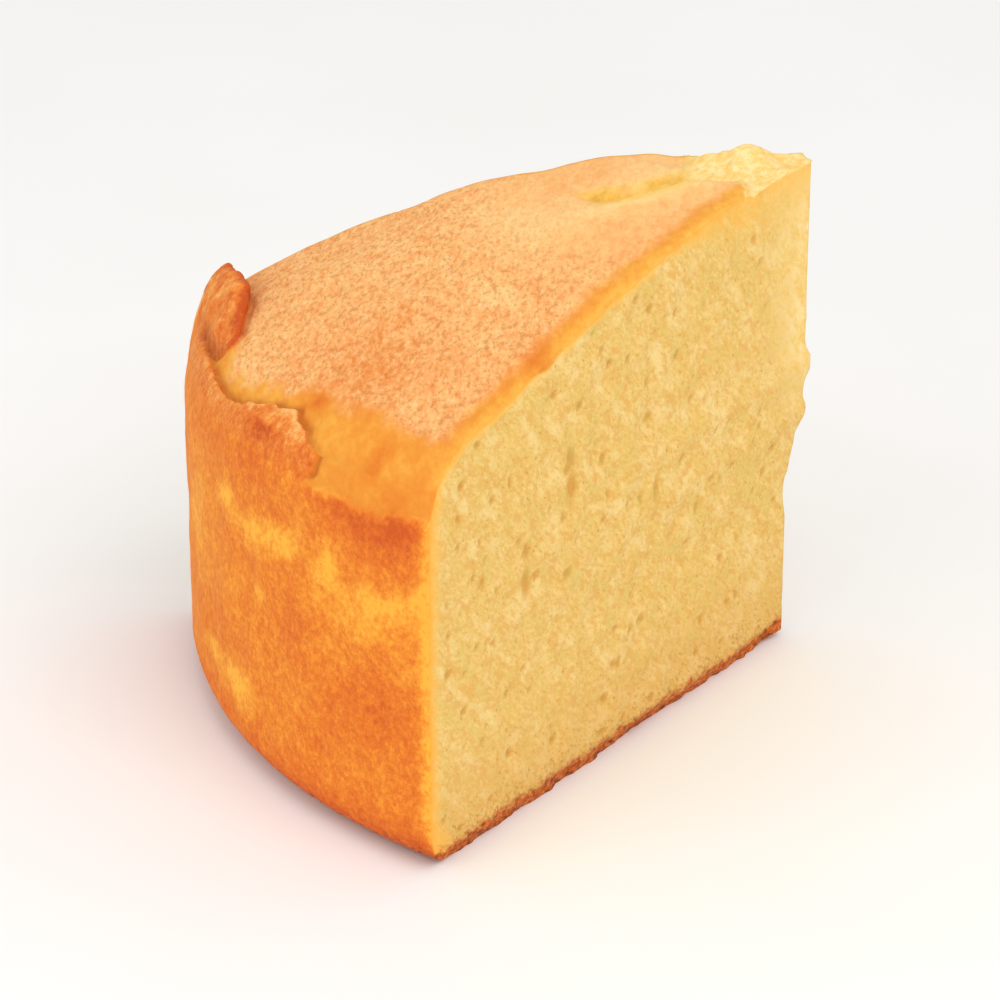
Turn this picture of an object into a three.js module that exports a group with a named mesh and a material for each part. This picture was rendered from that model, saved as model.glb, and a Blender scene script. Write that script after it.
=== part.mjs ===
// A wedge of pound cake, cut from a domed cake that was baked in a round tin.
//
// Frame: millimetres, +Z up, the flat base on z = 0 and the origin under the middle of the
// slice. The tip points towards +X and the browned side of the cake towards -X. The cut that
// faces -Y is cut A, and the one that faces +Y is cut B.
//
// Every point of the skin comes from one function of three numbers, each from 0 to 1:
// u runs round the cake from cut A to cut B, v from the tip out to the side, and w from the
// base up to the top. The skin is the six sides of that cube, which share their edges.

import * as THREE from 'three';
import { mergeVertices } from 'three/addons/utils/BufferGeometryUtils.js';

// The cake that the slice comes from.
const CAKE_RADIUS = 75;
const SLICE_ANGLE = THREE.MathUtils.degToRad(60);
const CENTRE_HEIGHT = 66.7;
const AXIS_X = 35.75;

// The top falls from the centre to the rim, lower and rounder at cut B than at cut A.
const RIM_HEIGHT = { a: 50.8, b: 42.6 };
const DOME_POWER = { a: 1.75, b: 2.13 };
const SHOULDER_RADIUS = 6;
const BASE_RADIUS = 3.5;

// The browned side crust ends in a torn edge. At stations round the rim, reach is how far
// that edge lies in from the rim and rise is how high it stands over the top crust: a flap
// folded over the shoulder, a narrow band along the rim, and a curled lip beside cut B.
const CRUST_EDGE = [
  { at: 0.0, reach: 0, rise: 0 },
  { at: 0.23, reach: 0, rise: 0 },
  { at: 0.26, reach: 0.9, rise: 0.6 },
  { at: 0.3, reach: 2.2, rise: 0.9 },
  { at: 0.37, reach: 3.8, rise: 0.9 },
  { at: 0.45, reach: 2.8, rise: 0.8 },
  { at: 0.52, reach: 1.5, rise: 0.8 },
  { at: 0.66, reach: 1.4, rise: 1.1 },
  { at: 0.7, reach: 2.8, rise: 1.6 },
  { at: 0.76, reach: 5.2, rise: 2.8 },
  { at: 0.84, reach: 6.3, rise: 4.2 },
  { at: 0.92, reach: 5.6, rise: 5.2 },
  { at: 1.0, reach: 4.4, rise: 5.2 },
];
const CRUST_CURL = 0.4;
const CREASE = { depth: 0.8, width: 1.6, offset: 0.8 };

// A split in the top crust. In plan, from the cake's axis, its line is a shallow parabola. Its
// far bank is steep, its near bank gentle, and it fades out over the last of its length.
const SPLIT = { x: -19.5, y: 1.6, bow: 0.05, halfLength: 8, fade: 3, depth: 1.3 };
const SPLIT_BANKS = { far: 0.9, near: 2.6 };

// Near the tip the crust has come off. Knobs of bare crumb stand there, given by their
// distance from the axis, their place between the cuts, their height and their radius.
const TORN_REACH = { a: 9.5, b: 12.8 };
const TORN_DEPTH = 0.7;
const TORN_EDGE = 0.8;
const TORN_KNOBS = [
  { from: 4.6, at: 0.9, height: 2.0, radius: 2.6 },
  { from: 9.8, at: 0.95, height: 1.2, radius: 2.2 },
  { from: 7.0, at: 0.4, height: 0.7, radius: 2.0 },
  { from: 0.0, at: 0.5, height: -0.7, radius: 1.4 },
  { from: 13.0, at: 1.0, height: -1.2, radius: 2.6 },
];

// The tip is a narrow torn face. Its upper half leans out, with two knobs below the lean.
const TIP_HALF_WIDTH = 1.2;
const TIP_OUT = { low: 0.8, high: 2.9, from: 21, to: 37 };
const TIP_KNOBS = [
  { height: 39, out: 1.1, radius: 1.8 },
  { height: 32.2, out: 0.9, radius: 1.8 },
  { height: 21.5, out: -0.5, radius: 2.4 },
];

// Low waves in the two cuts, in the side and in the top: rough height and wavelength.
const CUT_WAVE = { height: 0.28, length: 9 };
const SIDE_WAVE = { height: 0.2, length: 17 };
const TOP_WAVE = { height: 0.25, length: 21 };
const RIPPLES = { count: 5, turn: 2.4, shorten: 0.11, shift: 1.3 };

// How fast the crust's curl dies out down the side, and the cut's waves away from the cut.
const CURL_FADE = 8;
const CUT_FADE = 6;

// Grid: columns at the tip and at the side, rings from tip to side, rows from base to top.
const TIP_COLUMNS = 4;
const SIDE_COLUMNS = 44;
const INNER_RINGS = 27;
const RIM_RINGS = 12;
const RIM_RING_WIDTH = 9;
const ROWS = 28;
const ROW_CROWDING = 0.06;

const { lerp, smoothstep, clamp } = THREE.MathUtils;

const hump = (distance, radius) => Math.exp(-((distance / radius) ** 2));

/** Reads the torn edge of the side crust at u, on straight lines between its stations. */
function crustEdge(u) {
  const next = Math.max(1, CRUST_EDGE.findIndex((station) => station.at >= u));
  const [before, after] = [CRUST_EDGE[next - 1], CRUST_EDGE[next]];
  const t = (u - before.at) / (after.at - before.at);
  return { reach: lerp(before.reach, after.reach, t), rise: lerp(before.rise, after.rise, t) };
}

/** Height of the raised side crust at a distance in from the rim: a quarter of an ellipse. */
function crustRise(u, inFromRim) {
  const { reach, rise } = crustEdge(u);
  if (inFromRim >= reach) {
    return 0;
  }
  return rise * Math.sqrt(1 - (inFromRim / reach) ** 2);
}

/** How far the raised crust curls in over the top: nothing at the rim, most near its edge. */
function crustCurl(u, inFromRim) {
  const { reach } = crustEdge(u);
  return reach > 0 ? CRUST_CURL * crustRise(u, inFromRim) * (inFromRim / reach) : 0;
}

/** Depth of the crease where the top crust dips to meet the raised side crust. */
function creaseDepth(u, inFromRim) {
  const { reach, rise } = crustEdge(u);
  const fade = clamp(rise, 0, 1);
  return CREASE.depth * fade * hump(inFromRim - reach - CREASE.offset, CREASE.width);
}

/** Depth of the split in the top crust at a point in plan. */
function splitDepth(x, y) {
  const along = x - SPLIT.x;
  const across = (y - SPLIT.y - SPLIT.bow * along ** 2) / Math.hypot(1, 2 * SPLIT.bow * along);
  const whole = SPLIT.halfLength - SPLIT.fade;
  const ends = 1 - smoothstep(Math.abs(along), whole, SPLIT.halfLength);
  return SPLIT.depth * ends * hump(across, across > 0 ? SPLIT_BANKS.far : SPLIT_BANKS.near);
}

/** Height of the bare crumb near the tip over the dome: lower than the crust, with knobs. */
function tornRelief(u, x, y) {
  const fromAxis = Math.hypot(x, y);
  const reach = lerp(TORN_REACH.a, TORN_REACH.b, u);
  const bare = 1 - smoothstep(fromAxis, reach - TORN_EDGE, reach + TORN_EDGE);
  let relief = -TORN_DEPTH * bare;
  for (const knob of TORN_KNOBS) {
    const turn = Math.PI + SLICE_ANGLE * (0.5 - knob.at);
    const gap = Math.hypot(x - knob.from * Math.cos(turn), y - knob.from * Math.sin(turn));
    relief += knob.height * hump(gap, knob.radius);
  }
  return relief;
}

/** Height of the top over the base, with everything that stands on it or is cut into it. */
function topHeight(u, v, x, y) {
  const fromAxis = Math.min(Math.hypot(x, y) / CAKE_RADIUS, 1);
  const inFromRim = (1 - v) * CAKE_RADIUS;
  const rim = lerp(RIM_HEIGHT.a, RIM_HEIGHT.b, u);
  const power = lerp(DOME_POWER.a, DOME_POWER.b, u);
  const dome = rim + (CENTRE_HEIGHT - rim) * (1 - fromAxis ** power);
  const shoulder = SHOULDER_RADIUS * roundLoss(inFromRim / SHOULDER_RADIUS);
  const crust = crustRise(u, inFromRim) - creaseDepth(u, inFromRim);
  const relief = waves(x, y, TOP_WAVE) - splitDepth(x, y) + tornRelief(u, x, y);
  return dome - shoulder + crust + relief;
}

/** Half of a rounded corner: what a distance of 0 to 1 radius from the corner loses. */
function roundLoss(distance) {
  return (1 - Math.SQRT1_2) * Math.max(0, 1 - distance) ** 2;
}

/** Low waves over a face, whose two directions are in millimetres: ripples from all sides. */
function waves(along, up, { height, length }) {
  let sum = 0;
  for (let i = 0; i < RIPPLES.count; i++) {
    const way = RIPPLES.turn * i;
    const distance = along * Math.cos(way) + up * Math.sin(way);
    const turns = distance / (length * (1 - RIPPLES.shorten * i));
    sum += Math.sin(2 * Math.PI * turns + RIPPLES.shift * i);
  }
  return (height * sum) / Math.sqrt(2 * RIPPLES.count);
}

/** How far the torn tip stands out past the cake's axis at a height. */
function tipOut(z) {
  let out = lerp(TIP_OUT.low, TIP_OUT.high, smoothstep(z, TIP_OUT.from, TIP_OUT.to));
  for (const knob of TIP_KNOBS) {
    out += knob.out * hump(z - knob.height, knob.radius);
  }
  return out;
}

/** The skin's point for u, v and w, in the part's frame. */
function skinPoint(u, v, w) {
  const turn = Math.PI + SLICE_ANGLE * (0.5 - u);
  const rim = lerp(RIM_HEIGHT.a, RIM_HEIGHT.b, u);
  const upSide = w * rim;

  // The side: round at its base, rounded into the top, with low waves between.
  const baseGap = clamp(1 - upSide / BASE_RADIUS, 0, 1);
  const baseLoss = BASE_RADIUS * (1 - Math.sqrt(1 - baseGap ** 2));
  const topLoss = SHOULDER_RADIUS * roundLoss((rim - upSide) / SHOULDER_RADIUS);
  const sideWave = waves(u * SLICE_ANGLE * CAKE_RADIUS, upSide, SIDE_WAVE);
  const curl = crustCurl(u, (1 - v) * CAKE_RADIUS) * w ** CURL_FADE;
  const side = CAKE_RADIUS - baseLoss - topLoss + sideWave * Math.sin(Math.PI * w) - curl;

  // In plan, straight lines run from the tip out to the side.
  const tipX = tipOut(w * CENTRE_HEIGHT);
  const tipY = TIP_HALF_WIDTH * (2 * u - 1);
  let x = lerp(tipX, side * Math.cos(turn), v);
  let y = lerp(tipY, side * Math.sin(turn), v);
  const z = w * topHeight(u, v, x, y);

  // Low waves in the cuts, along each cut's own normal.
  const waveA = waves(v * CAKE_RADIUS, z, CUT_WAVE) * (1 - u) ** CUT_FADE;
  const waveB = waves(CAKE_RADIUS * (1 + v), z, CUT_WAVE) * u ** CUT_FADE;
  const awayFromEdges = Math.sin(Math.PI * v);
  x += Math.sin(SLICE_ANGLE / 2) * (waveA + waveB) * awayFromEdges;
  y += Math.cos(SLICE_ANGLE / 2) * (waveB - waveA) * awayFromEdges;
  return new THREE.Vector3(x + AXIS_X, y, z);
}

/** Joins rows of points into triangles; a row may have more points than the one before it. */
function joinRows(rows, turned) {
  const corners = [];
  for (let r = 0; r + 1 < rows.length; r++) {
    const [low, high] = [rows[r], rows[r + 1]];
    let [i, j] = [0, 0];
    while (i + 1 < low.length || j + 1 < high.length) {
      const stepLow = (i + 1) * (high.length - 1) <= (j + 1) * (low.length - 1);
      const third = stepLow ? low[i + 1] : high[j + 1];
      corners.push(...(turned ? [low[i], third, high[j]] : [low[i], high[j], third]));
      i += stepLow ? 1 : 0;
      j += stepLow ? 0 : 1;
    }
  }
  return corners;
}

/** Evenly spaced numbers from 0 to 1. */
const steps = (count) => Array.from({ length: count + 1 }, (_, i) => i / count);

/** The six sides of the cube of u, v and w as one closed geometry. */
function sliceGeometry() {
  const rimStart = 1 - RIM_RING_WIDTH / CAKE_RADIUS;
  const inner = steps(INNER_RINGS).map((s) => s * rimStart);
  const outer = steps(RIM_RINGS).map((s) => lerp(rimStart, 1, s));
  const rings = [...inner, ...outer.slice(1)];
  const rows = steps(ROWS).map((s) => s - ROW_CROWDING * Math.sin(2 * Math.PI * s));
  const last = rings.length - 1;

  const topRings = rings.map((v) => {
    const columns = Math.round(lerp(TIP_COLUMNS, SIDE_COLUMNS, v));
    return steps(columns).map((u) => skinPoint(u, v, 1));
  });
  const baseRings = rings.map((v, ring) => {
    const columns = { 0: TIP_COLUMNS, [last]: SIDE_COLUMNS }[ring] ?? 1;
    return steps(columns).map((u) => skinPoint(u, v, 0));
  });
  const cutA = rows.map((w) => rings.map((v) => skinPoint(0, v, w)));
  const cutB = rows.map((w) => rings.map((v) => skinPoint(1, v, w)));
  const tip = rows.map((w) => steps(TIP_COLUMNS).map((u) => skinPoint(u, 0, w)));
  const side = rows.map((w) => steps(SIDE_COLUMNS).map((u) => skinPoint(u, 1, w)));

  const corners = [
    ...joinRows(topRings, true),
    ...joinRows(baseRings, false),
    ...joinRows(cutA, false),
    ...joinRows(cutB, true),
    ...joinRows(tip, true),
    ...joinRows(side, false),
  ];
  return mergeVertices(new THREE.BufferGeometry().setFromPoints(corners), 1e-4);
}

// Golden crust and yellow crumb share one solid, so the colour lies between the two.
const cake = new THREE.MeshStandardMaterial({ color: 0xf0b060, roughness: 0.9, metalness: 0 });
const slice = new THREE.Mesh(sliceGeometry(), cake);
slice.name = 'cake_slice';

const part = new THREE.Group();
part.add(slice);

export default part;
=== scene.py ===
"""A wedge of pound cake on a pale table, in soft studio light, from the photograph's angle."""

import math

import bpy
import numpy as np
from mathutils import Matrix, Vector


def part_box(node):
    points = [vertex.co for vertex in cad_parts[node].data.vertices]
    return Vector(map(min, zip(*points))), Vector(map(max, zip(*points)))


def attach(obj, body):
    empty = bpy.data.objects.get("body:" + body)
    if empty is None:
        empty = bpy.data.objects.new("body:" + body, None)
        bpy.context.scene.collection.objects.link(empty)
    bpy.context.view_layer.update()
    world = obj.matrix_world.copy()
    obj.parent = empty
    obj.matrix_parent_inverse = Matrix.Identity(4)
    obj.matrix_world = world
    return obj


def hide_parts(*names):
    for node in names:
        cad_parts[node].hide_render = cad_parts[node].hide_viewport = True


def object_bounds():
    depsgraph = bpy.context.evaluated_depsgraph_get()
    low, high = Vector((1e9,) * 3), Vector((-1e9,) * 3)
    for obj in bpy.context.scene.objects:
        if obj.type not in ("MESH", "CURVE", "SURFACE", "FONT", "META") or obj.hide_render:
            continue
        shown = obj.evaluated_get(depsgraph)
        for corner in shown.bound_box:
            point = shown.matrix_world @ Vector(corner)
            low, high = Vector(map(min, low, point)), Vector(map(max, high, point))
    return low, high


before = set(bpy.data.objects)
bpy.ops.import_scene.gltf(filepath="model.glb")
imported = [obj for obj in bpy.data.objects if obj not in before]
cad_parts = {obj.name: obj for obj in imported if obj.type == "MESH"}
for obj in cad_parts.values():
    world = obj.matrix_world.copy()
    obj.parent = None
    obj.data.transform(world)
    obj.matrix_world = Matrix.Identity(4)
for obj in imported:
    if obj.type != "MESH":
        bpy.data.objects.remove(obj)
cad_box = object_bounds()


# ---------------------------------------------------------------------------------------------
# The cake slice. A sixth of a butter cake that rose to a dome in a round tin: fine yellow crumb
# inside, a thin speckled crust on top, a browned crust where the tin was, torn and folded over
# at the rim. It is cut with a knife, and its tip has torn. Sizes are in millimetres.
# ---------------------------------------------------------------------------------------------

MM = 0.001

# The cake: the skin is a function of u (from cut A to cut B), v (from tip to side) and w (up).
CAKE_RADIUS = 75.0
SLICE_ANGLE = math.radians(60)
CENTRE_HEIGHT = 66.7
AXIS_X = 35.75
RIM_HEIGHT = {"a": 50.8, "b": 42.6}
DOME_POWER = {"a": 1.75, "b": 2.13}
SHOULDER_RADIUS = 6.0
BASE_RADIUS = 5.5

# The torn edge of the side crust, a flap that folded over and a narrow band.
CRUST_STATIONS = [  # place round the rim, how far in from the rim it lies, how high it stands
    (0, 0, 0),
    (0.25, 0, 0.2),
    (0.308, 1.55, 0.8),
    (0.36, 2.95, 0.9),
    (0.385, 2.95, 0.9),
    (0.42, 2.4, 0.9),
    (0.456, 1.75, 0.9),
    (0.486, 1.25, 0.8),
    (0.512, 0.85, 0.8),
    (0.55, 0.5, 0.8),
    (0.614, 0.55, 0.7),
    (0.656, 0.8, 0.7),
    (0.74, 1.2, 0.6),
    (0.82, 1.1, 0.5),
    (0.9, 0.8, 0.5),
    (1, 0.5, 0.5),
]
CORNER = 0.01
RAGGED_EDGE = {"height": 0.22, "length": 4.0}
CREASE = {"depth": 0.4, "width": 1.1, "offset": 0.8}

# The lip: a tongue of crust that curled up off the dome, from its rounded end to cut B.
LIP_STATIONS = [  # place round the rim, outer edge and inner edge in from the rim, height
    (0.682, 3.1, 3.5, 0),
    (0.69, 2.4, 4.2, 0.7),
    (0.704, 1.9, 4.8, 1.2),
    (0.74, 1.35, 5.4, 1.9),
    (0.79, 1.2, 6.1, 2.8),
    (0.835, 0.95, 6.65, 3.4),
    (0.875, 0.6, 6.1, 3.9),
    (0.934, 0.1, 4.9, 4.5),
    (1, -0.7, 3.7, 4.9),
]
LIP_FULLNESS = 0.5
CRUST_CURL = {"share": 0.4, "over": 6.0}

# The split in the top: a parabola in plan with its lowest point at x and y, and how far it
# runs along x.
SPLIT = {"x": -16.5, "y": 1.2, "bow": 0.04, "depth": 1.0}
SPLIT_LENGTH = {"middle": -19.0, "half": 8.0, "fade": 3.0}
SPLIT_BANKS = {"far": 0.9, "near": 2.6}

# The torn tip: how far from the axis the crust has come off, with a ragged outline.
TORN_STATIONS = [  # place between the cuts, distance from the axis
    (0, 11.8),
    (0.06, 10.4),
    (0.15, 9.2),
    (0.26, 9.7),
    (0.42, 11.8),
    (0.5, 12.7),
    (0.75, 12.4),
    (1, 11.6),
]
TORN_OUTLINE = {"height": 0.35, "length": 2.6}
TORN_DEPTH = 0.7
TORN_EDGE = 0.8
TORN_KNOBS = [  # from the axis, place between the cuts, height, radius
    (4.6, 0.9, 2.0, 2.6),
    (9.8, 0.95, 1.2, 2.2),
    (7.0, 0.4, 0.7, 2.0),
    (0.0, 0.5, -0.7, 1.4),
    (13.0, 1.0, -1.2, 2.6),
]

TIP_HALF_WIDTH = 1.2
TIP_OUT = {"low": 0.8, "high": 2.9, "from": 21.0, "to": 37.0}
TIP_KNOBS = [  # height, how far out, radius
    (39.0, 1.1, 1.8),
    (32.2, 0.9, 1.8),
    (21.5, -0.5, 2.4),
]

CUT_WAVE = {"height": 0.28, "length": 9.0}
SIDE_WAVE = {"height": 0.2, "length": 17.0}
TOP_WAVE = {"height": 0.25, "length": 21.0}
RIPPLES = {"count": 5, "turn": 2.4, "shorten": 0.11, "shift": 1.3}
CURL_FADE = 8
CUT_FADE = 6


def blend(start, end, share):
    """A straight blend: start at share 0 and end at share 1."""
    return start + (end - start) * share


def ease(value, low, high):
    """A smooth step: 0 up to low, 1 from high, and 3t^2 - 2t^3 between them."""
    t = np.clip((value - low) / (high - low), 0, 1)
    return t * t * (3 - 2 * t)


def past(value, line, edge):
    """A smooth step over a line, from the start of its soft edge to the end of it."""
    return ease(value, line + edge[0], line + edge[1])


def hump(distance, radius):
    """A bell of height 1: e to the power of minus the square of distance over radius."""
    return np.exp(-((distance / radius) ** 2))


def round_loss(distance):
    """Half of a rounded corner: (1 - root of a half) times (1 - distance)^2, 0 past distance 1."""
    return (1 - math.sqrt(0.5)) * np.maximum(0, 1 - distance) ** 2


def waves(along, up, height, length):
    """Low waves over a face: a sum of sines that run five ways, each a little shorter."""
    total = 0
    for i in range(RIPPLES["count"]):
        way = RIPPLES["turn"] * i
        distance = along * math.cos(way) + up * math.sin(way)
        turns = distance / (length * (1 - RIPPLES["shorten"] * i))
        total = total + np.sin(2 * math.pi * turns + RIPPLES["shift"] * i)
    return height * total / math.sqrt(2 * RIPPLES["count"])


def between(stations, place):
    """The numbers at a place on straight lines between stations, each a place and its numbers."""
    places, *columns = zip(*stations)
    return [np.interp(place, places, column) for column in columns]


def crust_edge(u):
    """The torn crust's reach and rise at u, on straight lines between its stations with rounded
    corners, and low waves along its reach."""
    near = [between(CRUST_STATIONS, place) for place in (u - CORNER, u, u + CORNER)]
    reach, rise = np.sum(near, axis=0) / 3
    ragged = waves(u * SLICE_ANGLE * CAKE_RADIUS, 0, **RAGGED_EDGE)
    return reach + ragged * np.clip(reach, 0, 1), rise


def crust_rise(u, in_from_rim):
    """Height of the raised side crust: a quarter of an ellipse, highest at the rim, or the lip's
    section where that is higher: (1 - s^2) to a power, with s from -1 to 1 across it."""
    reach, rise = crust_edge(u)
    share = in_from_rim / np.maximum(reach, 1e-6)
    band = rise * np.sqrt(np.clip(1 - share**2, 0, 1))
    outer, inner, lip_rise = between(LIP_STATIONS, u)
    across = (2 * in_from_rim - outer - inner) / (inner - outer)
    return np.maximum(band, lip_rise * np.clip(1 - across**2, 0, 1) ** LIP_FULLNESS)


def crust_curl(u, in_from_rim):
    """How far the raised crust curls in: a share of its height that grows away from the rim."""
    away = np.clip(in_from_rim / CRUST_CURL["over"], 0, 1)
    return CRUST_CURL["share"] * away * crust_rise(u, in_from_rim)


def crease_depth(u, in_from_rim):
    """Depth of the crease inside the raised crust: a bell across its edge."""
    reach, rise = crust_edge(u)
    gap = in_from_rim - reach - CREASE["offset"]
    return CREASE["depth"] * np.clip(rise, 0, 1) * hump(gap, CREASE["width"])


def split_line(x, y):
    """Distance across the split's parabola in plan (+ on its far side), and 1 to 0 at its ends."""
    along = x - SPLIT["x"]
    bow = SPLIT["bow"]
    across = (y - SPLIT["y"] - bow * along**2) / np.hypot(1, 2 * bow * along)
    half = SPLIT_LENGTH["half"]
    return across, 1 - ease(np.abs(x - SPLIT_LENGTH["middle"]), half - SPLIT_LENGTH["fade"], half)


def split_depth(x, y):
    """Depth of the split in the top: a bell across it, narrow on the far bank, wide on the near."""
    across, ends = split_line(x, y)
    bank = np.where(across > 0, SPLIT_BANKS["far"], SPLIT_BANKS["near"])
    return SPLIT["depth"] * ends * hump(across, bank)


def torn_share(u, x, y):
    """1 where the crust has come off near the tip, 0 past its torn boundary."""
    reach = between(TORN_STATIONS, u)[0] + waves(x, y, **TORN_OUTLINE)
    return 1 - ease(np.hypot(x, y), reach - TORN_EDGE, reach + TORN_EDGE)


def torn_relief(u, x, y):
    """Height of the bare crumb near the tip: a step down, with a bell for each knob."""
    relief = -TORN_DEPTH * torn_share(u, x, y)
    for distance, at, height, radius in TORN_KNOBS:
        turn = math.pi + SLICE_ANGLE * (0.5 - at)
        gap = np.hypot(x - distance * math.cos(turn), y - distance * math.sin(turn))
        relief = relief + height * hump(gap, radius)
    return relief


def top_height(u, v, x, y):
    """Height of the top: the dome, less its rounded shoulder, with all that stands on it."""
    from_axis = np.minimum(np.hypot(x, y) / CAKE_RADIUS, 1)
    in_from_rim = (1 - v) * CAKE_RADIUS
    rim = blend(RIM_HEIGHT["a"], RIM_HEIGHT["b"], u)
    power = blend(DOME_POWER["a"], DOME_POWER["b"], u)
    dome = rim + (CENTRE_HEIGHT - rim) * (1 - from_axis**power)
    shoulder = SHOULDER_RADIUS * round_loss(in_from_rim / SHOULDER_RADIUS)
    crust = crust_rise(u, in_from_rim) - crease_depth(u, in_from_rim)
    low_waves = waves(x, y, **TOP_WAVE)
    return dome - shoulder + crust + low_waves - split_depth(x, y) + torn_relief(u, x, y)


def tip_out(z):
    """How far the torn tip stands out past the axis: a lean with height, and a bell a knob."""
    out = blend(TIP_OUT["low"], TIP_OUT["high"], ease(z, TIP_OUT["from"], TIP_OUT["to"]))
    for height, far, radius in TIP_KNOBS:
        out = out + far * hump(z - height, radius)
    return out


def skin(u, v, w):
    """The slice's skin, from its axis: straight lines in plan from the tip to the rounded side,
    raised to w times the top's height, with low waves along the normal of each cut."""
    turn = math.pi + SLICE_ANGLE * (0.5 - u)
    rim = blend(RIM_HEIGHT["a"], RIM_HEIGHT["b"], u)
    up_side = w * rim
    base_gap = np.clip(1 - up_side / BASE_RADIUS, 0, 1)
    base_loss = BASE_RADIUS * (1 - np.sqrt(1 - base_gap**2))
    top_loss = SHOULDER_RADIUS * round_loss((rim - up_side) / SHOULDER_RADIUS)
    side_wave = waves(u * SLICE_ANGLE * CAKE_RADIUS, up_side, **SIDE_WAVE) * np.sin(math.pi * w)
    curl = crust_curl(u, (1 - v) * CAKE_RADIUS) * w**CURL_FADE
    side = CAKE_RADIUS - base_loss - top_loss + side_wave - curl

    x = blend(tip_out(w * CENTRE_HEIGHT), side * np.cos(turn), v)
    y = blend(TIP_HALF_WIDTH * (2 * u - 1), side * np.sin(turn), v)
    top = top_height(u, v, x, y)
    z = w * top

    wave_a = waves(v * CAKE_RADIUS, z, **CUT_WAVE) * (1 - u) ** CUT_FADE
    wave_b = waves(CAKE_RADIUS * (1 + v), z, **CUT_WAVE) * u**CUT_FADE
    away_from_edges = np.sin(math.pi * v)
    x = x + math.sin(SLICE_ANGLE / 2) * (wave_a + wave_b) * away_from_edges
    y = y + math.cos(SLICE_ANGLE / 2) * (wave_b - wave_a) * away_from_edges
    return np.stack([x, y, z], axis=1), top


# The grid: about half a millimetre a cell, finer near the rim, with fewer columns to the tip.
TIP_COLUMNS = 6
SIDE_COLUMNS = 184
INNER_RINGS = 146
RIM_RINGS = 32
RIM_WIDTH = 9.0
ROWS = 136
ROW_CROWDING = 0.06
BASE_THINNING = 4


def steps(count):
    """Evenly spaced numbers from 0 to 1."""
    return np.linspace(0, 1, count + 1)


def zip_rows(rows):
    """Triangles between rows of point numbers, which may differ in length: each step along
    either row makes one, with the point that the other row has reached by then."""
    faces = []
    for low, high in zip(rows[:-1], rows[1:]):
        middle_low = (np.arange(len(low) - 1) + 0.5) / (len(low) - 1)
        middle_high = (np.arange(len(high) - 1) + 0.5) / (len(high) - 1)
        across = high[np.searchsorted(middle_high, middle_low, side="left")]
        back = low[np.searchsorted(middle_low, middle_high, side="right")]
        faces.append(np.stack([low[:-1], low[1:], across], axis=1))
        faces.append(np.stack([back, high[1:], high[:-1]], axis=1))
    return np.concatenate(faces)


def skin_grid():
    """The six sides of the cube of u, v and w as one closed set of triangles: its points, as
    rows of u, v and w that the sides share at their edges, and its faces, pointing out."""
    rim_start = 1 - RIM_WIDTH / CAKE_RADIUS
    inner_rings = steps(INNER_RINGS)[:-1] * rim_start
    rings = np.concatenate([inner_rings, blend(rim_start, 1, steps(RIM_RINGS))])
    rows = steps(ROWS) - ROW_CROWDING * np.sin(2 * math.pi * steps(ROWS))
    rows[[0, -1]] = [0, 1]
    columns = np.round(blend(TIP_COLUMNS, SIDE_COLUMNS, rings)).astype(int)
    base_columns = np.where((rings == 0) | (rings == 1), columns, columns // BASE_THINNING + 1)

    def line(*numbers):
        """Points whose u, v and w are these numbers or arrays."""
        return np.stack(np.broadcast_arrays(*map(np.atleast_1d, numbers)), axis=1).astype(float)

    sides = [
        ([line(steps(n), v, 1) for n, v in zip(columns, rings)], False),
        ([line(steps(n), v, 0) for n, v in zip(base_columns, rings)], True),
        ([line(0, rings, w) for w in rows], True),
        ([line(1, rings, w) for w in rows], False),
        ([line(steps(TIP_COLUMNS), 0, w) for w in rows], False),
        ([line(steps(SIDE_COLUMNS), 1, w) for w in rows], True),
    ]
    points, faces, count = [], [], 0
    for lines, turned in sides:
        numbered = []
        for part in lines:
            numbered.append(np.arange(count, count + len(part)))
            points.append(part)
            count += len(part)
        triangles = zip_rows(numbered)
        faces.append(triangles[:, ::-1] if turned else triangles)
    keys = np.round(np.concatenate(points), 9)
    shared, place = np.unique(keys, axis=0, return_inverse=True)
    return shared, place.reshape(-1)[np.concatenate(faces)]


grid, faces = skin_grid()
u, v, w = grid.T
points, top = skin(u, v, w)
x, y, z = points.T
rim_top = skin(u, np.ones_like(u), np.ones_like(u))[1]
in_from_rim = (1 - v) * CAKE_RADIUS
arc = u * SLICE_ANGLE * CAKE_RADIUS
on_top = w == 1
on_side = v == 1
on_cut = ((u == 0) | (u == 1) | (v == 0)) & ~on_top & (w > 0)


def make_mesh(name, points, faces):
    """A smooth-shaded mesh of points in millimetres, put into metres."""
    mesh = bpy.data.meshes.new(name)
    mesh.from_pydata((points * MM).tolist(), [], faces.tolist())
    mesh.polygons.foreach_set("use_smooth", np.ones(len(faces), bool))
    mesh.update()
    return mesh


mesh = make_mesh("cake_slice", points + [AXIS_X, 0, 0], faces)
normals = np.empty(len(points) * 3)
mesh.vertex_normals.foreach_get("vector", normals)
normals = normals.reshape(-1, 3)

# Fine relief along the skin's normals.
NOISE_CELLS = 61


def cloud(points, size, seed):
    """Smooth noise from -1 to 1: random values on a lattice of that size, eased between."""
    values = np.random.default_rng(seed).uniform(-1, 1, (NOISE_CELLS,) * 3)
    cell = np.floor(points / size).astype(int)
    t = ease(points / size - cell, 0, 1)
    total = 0
    for corner in np.ndindex(2, 2, 2):
        i, j, k = ((cell + corner) % NOISE_CELLS).T
        total = total + values[i, j, k] * np.prod(np.where(corner, t, 1 - t), axis=1)
    return total


def clouds(points, layers):
    """A sum of noises, each with its height, its size in millimetres and its seed."""
    return sum(height * cloud(points, size, seed) for height, size, seed in layers)


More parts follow.
